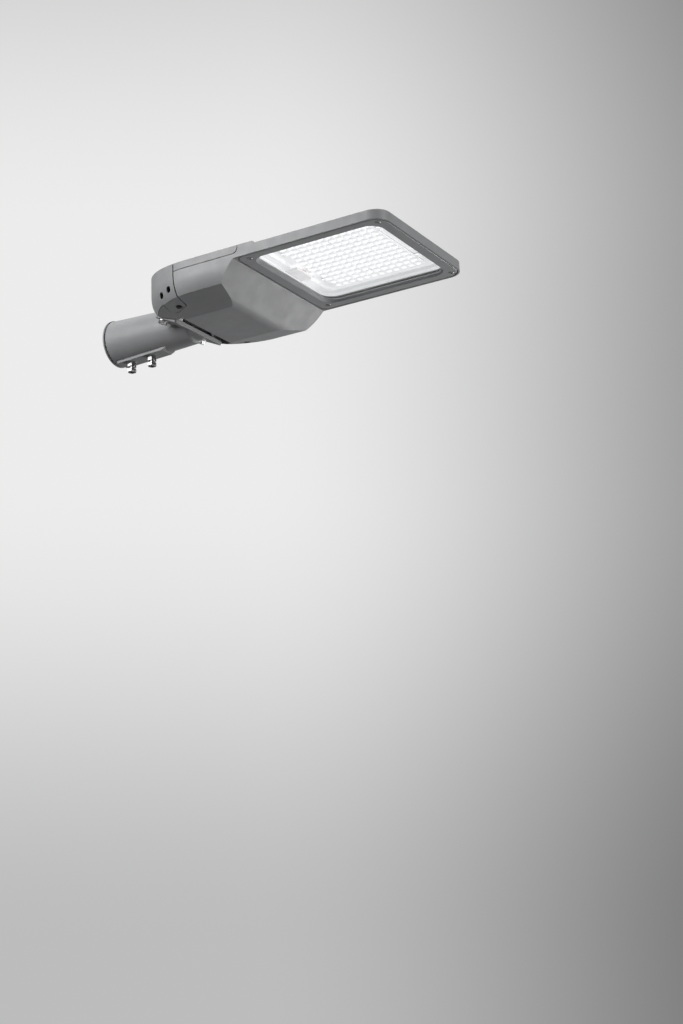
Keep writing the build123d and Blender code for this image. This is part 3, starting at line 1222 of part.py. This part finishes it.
with BuildPart() as mains_leads:
    lead_spots = [(TERMINAL_X[1] - 4 - 4 * way, TRAY_TOP_Z + 7) for way in range(TERMINAL_WAYS)]
    with BuildSketch(Plane.XZ.offset(-DRIVER_Y[0])):
        with Locations(*lead_spots):
            Circle(LEAD_RADIUS)
    extrude(amount=DRIVER_Y[0] - SIDE_GEAR_Y[1])
mains_leads.part.label = "mains_leads"
export_step(mains_leads.part, "parts/mains_leads.step")

# ---------------------------------------------------------------- cable gland
GLAND_BORE = 5.0

with BuildPart() as cable_gland:
    behind = Plane(origin=(CAP_SEAM_X, GLAND_Y, GLAND_Z), x_dir=(0, 1, 0), z_dir=(-1, 0, 0))
    extrude(hexagon(behind, [(0, 0)], 24.0), amount=5)
    with BuildSketch(behind.offset(5)):
        Circle(10.5)
    extrude(amount=8)
    fillet(cable_gland.faces().sort_by(Axis.X)[0].edges(), 3)
    with BuildSketch(behind):
        Circle(10.0 - RUN_FIT)
    extrude(amount=-PARTITION - 7)
    with BuildSketch(behind.offset(13)):
        Circle(GLAND_BORE)
    extrude(amount=-PARTITION - 20, mode=Mode.SUBTRACT)
cable_gland.part.label = "cable_gland"
export_step(cable_gland.part, "parts/cable_gland.step")

with BuildPart() as gland_nut:
    inside = Plane(origin=(GEAR_REAR_X, GLAND_Y, GLAND_Z), x_dir=(0, 1, 0), z_dir=(1, 0, 0))
    extrude(hexagon(inside, [(0, 0)], 24.0, 10.0), amount=5)
gland_nut.part.label = "gland_nut"
export_step(gland_nut.part, "parts/gland_nut.step")
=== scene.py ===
import json

import bpy
from mathutils import Matrix, Vector


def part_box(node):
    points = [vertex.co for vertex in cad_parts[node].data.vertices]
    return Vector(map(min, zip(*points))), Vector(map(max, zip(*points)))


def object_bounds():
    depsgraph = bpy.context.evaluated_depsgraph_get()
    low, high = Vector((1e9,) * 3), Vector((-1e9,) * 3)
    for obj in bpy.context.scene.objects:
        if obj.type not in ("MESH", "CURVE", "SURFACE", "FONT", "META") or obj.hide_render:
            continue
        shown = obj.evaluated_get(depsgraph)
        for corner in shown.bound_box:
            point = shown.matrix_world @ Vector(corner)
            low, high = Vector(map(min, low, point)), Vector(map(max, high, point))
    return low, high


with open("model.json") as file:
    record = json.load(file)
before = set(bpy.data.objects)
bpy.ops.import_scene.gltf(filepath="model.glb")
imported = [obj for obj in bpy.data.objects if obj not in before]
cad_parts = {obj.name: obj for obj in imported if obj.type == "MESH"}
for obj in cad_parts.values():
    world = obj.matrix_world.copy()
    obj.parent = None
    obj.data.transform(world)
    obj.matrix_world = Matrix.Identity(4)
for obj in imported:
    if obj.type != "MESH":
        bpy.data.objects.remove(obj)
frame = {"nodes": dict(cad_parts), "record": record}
cad_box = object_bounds()

# The lens grid, as the lens plate is moulded
LENS_PITCH = (0.0132, 0.0148)
LENS_RADIUS = 0.0054

RANGE_SOCKETS = ("From Min", "From Max", "To Min", "To Max")


# ---------------------------------------------------------------- material helpers
class Nodes:
    """A material's node tree, with short calls for the nodes used here."""

    def __init__(self, name):
        self.material = bpy.data.materials.new(name)
        self.material.use_nodes = True
        self.tree = self.material.node_tree
        self.shader = self.tree.nodes["Principled BSDF"]
        coordinates = self.tree.nodes.new("ShaderNodeTexCoord")
        self.place = coordinates.outputs["Object"]
        self.facing = coordinates.outputs["Normal"]

    def link(self, output, target):
        self.tree.links.new(output, target)

    def set(self, **values):
        for name, value in values.items():
            self.shader.inputs[name.replace("_", " ")].default_value = value

    def stretched(self, scale):
        node = self.tree.nodes.new("ShaderNodeMapping")
        node.inputs["Scale"].default_value = scale
        self.link(self.place, node.inputs["Vector"])
        return node.outputs["Vector"]

    def noise(self, scale, detail=3.0, vector=None, rough=0.5):
        node = self.tree.nodes.new("ShaderNodeTexNoise")
        node.inputs["Scale"].default_value = scale
        node.inputs["Detail"].default_value = detail
        node.inputs["Roughness"].default_value = rough
        self.link(vector or self.place, node.inputs["Vector"])
        return node.outputs["Fac"]

    def cells(self, scale):
        node = self.tree.nodes.new("ShaderNodeTexVoronoi")
        node.inputs["Scale"].default_value = scale
        self.link(self.place, node.inputs["Vector"])
        return node.outputs["Distance"]

    def remap(self, value, low, high, to_low=0.0, to_high=1.0, smooth=False):
        node = self.tree.nodes.new("ShaderNodeMapRange")
        if smooth:
            node.interpolation_type = "SMOOTHSTEP"
        for name, number in zip(RANGE_SOCKETS, (low, high, to_low, to_high)):
            node.inputs[name].default_value = number
        self.link(value, node.inputs["Value"])
        return node.outputs["Result"]

    def math(self, operation, a, b=None):
        node = self.tree.nodes.new("ShaderNodeMath")
        node.operation = operation
        for slot, value in zip(node.inputs, (a, b)):
            if isinstance(value, (int, float)):
                slot.default_value = value
            elif value is not None:
                self.link(value, slot)
        return node.outputs[0]

    def blend(self, factor, a, b):
        node = self.tree.nodes.new("ShaderNodeMix")
        node.data_type = "RGBA"
        self.link(factor, node.inputs["Factor"])
        for socket, value in ((node.inputs["A"], a), (node.inputs["B"], b)):
            if isinstance(value, tuple):
                socket.default_value = (*value, 1.0)
            else:
                self.link(value, socket)
        return node.outputs["Result"]

    def axes(self, vector=None):
        node = self.tree.nodes.new("ShaderNodeSeparateXYZ")
        self.link(vector or self.place, node.inputs[0])
        return node.outputs

    def bump(self, height, strength, distance, below=None):
        node = self.tree.nodes.new("ShaderNodeBump")
        node.inputs["Strength"].default_value = strength
        node.inputs["Distance"].default_value = distance
        self.link(height, node.inputs["Height"])
        if below:
            self.link(below, node.inputs["Normal"])
        return node.outputs["Normal"]

    def between(self, value, low, high):
        above = self.math("GREATER_THAN", value, low)
        return self.math("MULTIPLY", above, self.math("LESS_THAN", value, high))


def grey(level, tint=(1.0, 1.0, 1.0)):
    return tuple(level * part for part in tint)


COOL = (0.985, 1.0, 1.02)


def powder_coat(name, level, rough=0.5):
    """Fine-textured powder coat on cast metal: orange-peel grain, faint mottling and dust."""
    m = Nodes(name)
    mottling = m.remap(m.noise(26.0, 5.0), 0.3, 0.7)
    coat = m.blend(mottling, grey(level * 0.9, COOL), grey(level * 1.08, COOL))
    speck = m.remap(m.noise(1900.0, 1.0), 0.38, 0.68)
    coat = m.blend(m.math("MULTIPLY", speck, 0.55), coat, grey(level * 1.5, COOL))
    dust = m.math("MULTIPLY", m.remap(m.noise(7.0, 6.0, rough=0.6), 0.52, 0.75), 0.16)
    m.link(m.blend(dust, coat, grey(level * 1.35)), m.shader.inputs["Base Color"])
    sheen = m.remap(m.noise(60.0, 4.0), 0.3, 0.7, rough - 0.06, rough + 0.08)
    m.link(sheen, m.shader.inputs["Roughness"])
    m.set(Specular_IOR_Level=0.42)
    grain = m.bump(m.noise(1500.0, 2.0), 0.42, 0.00016)
    m.link(m.bump(m.noise(240.0, 2.0), 0.2, 0.0002, grain), m.shader.inputs["Normal"])
    return m


def steel(name, level, rough, stretch=(1.0, 1.0, 1.0)):
    """Bare steel with fine turning marks, slightly uneven polish and darker spots."""
    m = Nodes(name)
    marks = m.noise(900.0, 2.0, m.stretched(stretch))
    stain = m.remap(m.noise(160.0, 4.0), 0.45, 0.8)
    stained = grey(level * 0.72, (1.0, 0.99, 0.97))
    m.link(m.blend(stain, grey(level), stained), m.shader.inputs["Base Color"])
    m.set(Metallic=1.0)
    m.link(m.remap(marks, 0.25, 0.75, rough - 0.07, rough + 0.12), m.shader.inputs["Roughness"])
    m.link(m.bump(marks, 0.22, 0.00008), m.shader.inputs["Normal"])
    return m


def zinc(name):
    """Zinc-plated sheet with its crystal pattern."""
    m = Nodes(name)
    crystal = m.cells(170.0)
    spangle = m.blend(m.remap(crystal, 0.0, 0.8), grey(0.42, COOL), grey(0.62, COOL))
    m.link(spangle, m.shader.inputs["Base Color"])
    m.set(Metallic=0.9)
    m.link(m.remap(crystal, 0.0, 0.8, 0.34, 0.52), m.shader.inputs["Roughness"])
    m.link(m.bump(m.noise(500.0, 3.0), 0.2, 0.0001), m.shader.inputs["Normal"])
    return m


def moulded(name, colour, rough, grain=900.0, depth=0.25):
    """Moulded plastic or rubber with a fine grain and slight uneven sheen."""
    m = Nodes(name)
    dark = tuple(part * 0.86 for part in colour)
    m.link(m.blend(m.remap(m.noise(90.0, 4.0), 0.3, 0.7), dark, colour), m.shader.inputs["Base Color"])
    sheen = m.remap(m.noise(220.0, 3.0), 0.3, 0.7, rough - 0.06, rough + 0.08)
    m.link(sheen, m.shader.inputs["Roughness"])
    m.link(m.bump(m.noise(grain, 2.0), depth, 0.00012), m.shader.inputs["Normal"])
    return m


def window_glass(name):
    """Clear toughened pane: nearly all the light goes through, with faint dust on its face."""
    m = Nodes(name)
    m.set(Base_Color=(0.96, 0.985, 0.975, 1.0), Transmission_Weight=0.6, IOR=1.45)
    haze = m.remap(m.noise(35.0, 5.0), 0.5, 0.8, 0.05, 0.11)
    m.link(haze, m.shader.inputs["Alpha"])
    m.link(m.remap(m.noise(90.0, 3.0), 0.3, 0.7, 0.02, 0.07), m.shader.inputs["Roughness"])
    m.material.surface_render_method = "DITHERED"
    return m


def lit_lenses(name, centre):
    """Clear lens plate with the emitters lit behind it, brightest in the middle of each dome."""
    m = Nodes(name)
    x, y, _ = m.axes()
    offsets = []
    for value, middle, pitch in zip((x, y), centre, LENS_PITCH):
        cell = m.math("FRACT", m.math("DIVIDE", m.math("SUBTRACT", value, middle - 40 * pitch), pitch))
        from_lens = m.math("MULTIPLY", m.math("SUBTRACT", cell, 0.5), pitch)
        offsets.append(m.math("MULTIPLY", from_lens, from_lens))
    radius = m.math("SQRT", m.math("ADD", *offsets))
    core = m.remap(radius, LENS_RADIUS * 0.22, LENS_RADIUS * 0.98, 1.0, 0.0, smooth=True)
    from_rim = m.math("ABSOLUTE", m.math("SUBTRACT", radius, LENS_RADIUS))
    rim = m.remap(from_rim, 0.0, 0.0012, 1.0, 0.0, smooth=True)
    glow = m.blend(core, grey(0.66, COOL), grey(1.1))
    glow = m.blend(m.math("MULTIPLY", rim, 0.55), glow, grey(0.42, COOL))
    m.link(glow, m.shader.inputs["Emission Color"])
    m.set(Emission_Strength=0.95, IOR=1.49, Specular_IOR_Level=0.5)
    body = m.blend(m.remap(m.noise(70.0), 0.3, 0.7), grey(0.46), grey(0.54))
    m.link(body, m.shader.inputs["Base Color"])
    m.link(m.remap(m.noise(300.0, 2.0), 0.3, 0.7, 0.12, 0.24), m.shader.inputs["Roughness"])
    return m


def coat_with_glowing_white_chamber(name, level):
    """Powder coat outside; inside the light chamber the same casting is painted glossy white and given a
    painted glow, the emitters' light painted in as emission.
    """
    m = powder_coat(name, level)
    low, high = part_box("glass")
    _, lamp_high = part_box("led_board")
    x, y, z = m.axes()
    inside = m.math("MULTIPLY", m.between(x, low.x, high.x), m.between(y, low.y, high.y))
    inside = m.math("MULTIPLY", inside, m.between(z, high.z + 0.0005, lamp_high.z + 0.0006))
    # the casting's top face lies as low as the chamber in places, but looks up
    inside = m.math("MULTIPLY", inside, m.math("LESS_THAN", m.axes(m.facing)[2], 0.2))
    coat = m.shader.inputs["Base Color"].links[0].from_socket
    mottled = m.blend(m.remap(m.noise(45.0), 0.3, 0.7), grey(0.78), grey(0.86))
    m.link(m.blend(inside, coat, mottled), m.shader.inputs["Base Color"])
    # painted glow: the white chamber gives off painted light, standing in for the emitters' light
    # falling on it
    painted_chamber_glow = m.blend(inside, grey(0.0), grey(0.38, COOL))
    m.link(painted_chamber_glow, m.shader.inputs["Emission Color"])
    m.set(Emission_Strength=1.0)
    return m


# ---------------------------------------------------------------- materials on the CAD nodes
lens_low, lens_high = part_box("lens_plate")
lens_centre = ((lens_low.x + lens_high.x) / 2, (lens_low.y + lens_high.y) / 2)

coat = powder_coat("powder_coat", 0.185)
# the housing's coat, with a painted glow inside the light chamber
housing_coat_painted_glow = coat_with_glowing_white_chamber("powder_coat_housing_painted_glow", 0.2)
frame_coat = powder_coat("powder_coat_frame", 0.235, 0.46)
bright = steel("stainless", 0.42, 0.34, (1.0, 1.0, 6.0))
dull = steel("dull_stainless", 0.42, 0.4)
blackened = steel("blackened_steel", 0.035, 0.45)
plated = zinc("zinc_plate")
pane = window_glass("window_glass")
silicone = moulded("silicone_foam", grey(0.5), 0.75, 1600.0, 0.5)
lenses = lit_lenses("lit_lenses", lens_centre)
board = moulded("board_white", grey(0.82), 0.4, 1200.0, 0.1)
white_plastic = moulded("white_plastic", grey(0.74, (1.0, 0.99, 0.97)), 0.45)
gear_case = moulded("gear_case", grey(0.62, (1.0, 0.99, 0.96)), 0.5)
black_plastic = moulded("black_plastic", grey(0.018), 0.5)
red_sleeve = moulded("red_sleeve", (0.42, 0.02, 0.015), 0.4, 600.0, 0.1)
black_sleeve = moulded("black_sleeve", grey(0.012), 0.4, 600.0, 0.1)
brass = steel("brass_screws", 0.6, 0.3)
brass.set(Base_Color=(0.6, 0.42, 0.16, 1.0))
# painted glow: white plastic that gives off painted light, standing in for the emitters' light falling
# on it
lead_cover_painted_glow = moulded("lead_cover_white_painted_glow", grey(0.8), 0.4)
lead_cover_painted_glow.set(Emission_Color=(0.34, 0.34, 0.345, 1.0), Emission_Strength=1.0)

BY_SLOT = {
    "cast_grey": coat,
    "frame_grey": frame_coat,
    "stainless": bright,
    "blackened": blackened,
    "galvanised": plated,
    "glass": pane,
    "silicone": silicone,
    "lens_clear": lenses,
    "board_white": board,
    "white_plastic": white_plastic,
    "gear_case": gear_case,
    "black_plastic": black_plastic,
    "red_sleeve": red_sleeve,
    "black_sleeve": black_sleeve,
    "brass": brass,
}
BY_NODE = {
    # the housing carries the painted glow of its light chamber
    "housing": housing_coat_painted_glow,
    "cover_frame_screws": dull,
    # the lead cover, board connector and board screws share the white plastic with a painted glow
    "lead_cover": lead_cover_painted_glow,
    "board_connector": lead_cover_painted_glow,
    "board_screws": lead_cover_painted_glow,
}
for part in frame["record"]["subparts"]:
    node = part["node"]
    chosen = BY_NODE.get(node, BY_SLOT[part["material_slot"]])
    obj = frame["nodes"][node]
    obj.data.materials.clear()
    obj.data.materials.append(chosen.material)

# ---------------------------------------------------------------- floor, light and camera
low, high = cad_box
middle = (Vector(low) + Vector(high)) / 2
FLOOR_Z = -1.6

floor_mesh = bpy.data.meshes.new("floor")
SPREAD = 14.0
signs = ((-1, -1), (1, -1), (1, 1), (-1, 1))
corners = [(SPREAD * along, SPREAD * across, FLOOR_Z) for along, across in signs]
floor_mesh.from_pydata(corners, [], [(0, 1, 2, 3)])
floor = bpy.data.objects.new("floor", floor_mesh)
bpy.context.scene.collection.objects.link(floor)
pale = Nodes("pale_floor")
pale.link(pale.blend(pale.noise(1.5, 2.0), grey(0.66), grey(0.72)), pale.shader.inputs["Base Color"])
pale.set(Roughness=0.9)
floor_mesh.materials.append(pale.material)
floor.visible_diffuse = False
floor.visible_shadow = False
floor.visible_glossy = False


def soft_light(name, direction, distance, size, power):
    """A large soft box that looks at the object from a direction."""
    data = bpy.data.lights.new(name, "AREA")
    data.shape = "DISK"
    data.size = size
    data.energy = power
    lamp = bpy.data.objects.new(name, data)
    toward = Vector(direction).normalized()
    aim = toward.to_track_quat("Z", "Y").to_matrix().to_4x4()
    lamp.matrix_world = Matrix.Translation(middle + toward * distance) @ aim
    lamp.visible_camera = False
    bpy.context.scene.collection.objects.link(lamp)


soft_light("side_box", (-0.46, -1.0, 0.34), 1.3, 0.9, 20.5)
soft_light("far_low_box", (0.30, 0.88, -0.28), 2.3, 1.2, 36.0)
soft_light("nose_box", (1.0, 0.0, 0.55), 2.3, 1.2, 34.0)
soft_light("under_box", (0.2, 0.5, -1.0), 2.4, 1.4, 12.0)
soft_light("top_box", (-0.1, 0.1, 1.0), 2.4, 1.6, 60.0)

# The camera's own axes, which also lay out the backdrop's gradient
RIGHT = Vector((0.8537, 0.5197, -0.0325)).normalized()
BACK = Vector((0.4919, -0.8255, -0.2768))
BACK = (BACK - RIGHT * BACK.dot(RIGHT)).normalized()
UP = BACK.cross(RIGHT)

AMBIENT = 0.27

world = bpy.data.worlds.new("studio")
world.use_nodes = True
bpy.context.scene.world = world
tree = world.node_tree
turn = tree.nodes.new("ShaderNodeTexCoord")


def along(axis):
    """How far the looked-at direction leans along an axis."""
    node = tree.nodes.new("ShaderNodeVectorMath")
    node.operation = "DOT_PRODUCT"
    node.inputs[1].default_value = axis
    tree.links.new(turn.outputs["Generated"], node.inputs[0])
    return node.outputs["Value"]


def fade(value, *limits):
    """A smooth change of brightness between two values."""
    node = tree.nodes.new("ShaderNodeMapRange")
    node.interpolation_type = "SMOOTHSTEP"
    for socket, number in zip(RANGE_SOCKETS, limits):
        node.inputs[socket].default_value = number
    tree.links.new(value, node.inputs["Value"])
    return node.outputs["Result"]


def sums(operation, a, b=None):
    """One arithmetic step on the brightness."""
    node = tree.nodes.new("ShaderNodeMath")
    node.operation = operation
    tree.links.new(a, node.inputs[0])
    if isinstance(b, float):
        node.inputs[1].default_value = b
    elif b is not None:
        tree.links.new(b, node.inputs[1])
    return node.outputs[0]


# The backdrop is bright on the left, in a band a little above the middle
BAND_HEIGHT = 0.08
darker_right = fade(along(RIGHT), -0.05, 0.26, 0.84, 0.26)
off_band = sums("ABSOLUTE", sums("SUBTRACT", along(UP), BAND_HEIGHT))
darker_off_band = fade(off_band, 0.06, 0.30, 1.0, 0.60)

# The camera sees the backdrop, and the object is lit by an even grey
ambient = tree.nodes["Background"]
ambient.inputs["Color"].default_value = (*grey(0.55), 1.0)
ambient.inputs["Strength"].default_value = AMBIENT
backdrop = tree.nodes.new("ShaderNodeBackground")
backdrop.inputs["Color"].default_value = (1.0, 1.0, 1.0, 1.0)
tree.links.new(sums("MULTIPLY", darker_right, darker_off_band), backdrop.inputs["Strength"])
path = tree.nodes.new("ShaderNodeLightPath")
both = tree.nodes.new("ShaderNodeMixShader")
tree.links.new(path.outputs["Is Camera Ray"], both.inputs["Fac"])
tree.links.new(ambient.outputs[0], both.inputs[1])
tree.links.new(backdrop.outputs[0], both.inputs[2])
tree.links.new(both.outputs[0], tree.nodes["World Output"].inputs["Surface"])

CAMERA_PLACE = (1.8007, -2.3217, -1.1383)
camera_data = bpy.data.cameras.new("camera")
camera_data.lens = 66.8
camera_data.sensor_width = 36.0
camera_data.clip_end = 60.0
camera = bpy.data.objects.new("camera", camera_data)
turned = Matrix((RIGHT, UP, BACK)).transposed().to_4x4()
camera.matrix_world = Matrix.Translation(CAMERA_PLACE) @ turned
bpy.context.scene.collection.objects.link(camera)
bpy.context.scene.camera = camera
bpy.context.scene.view_settings.view_transform = "Standard"
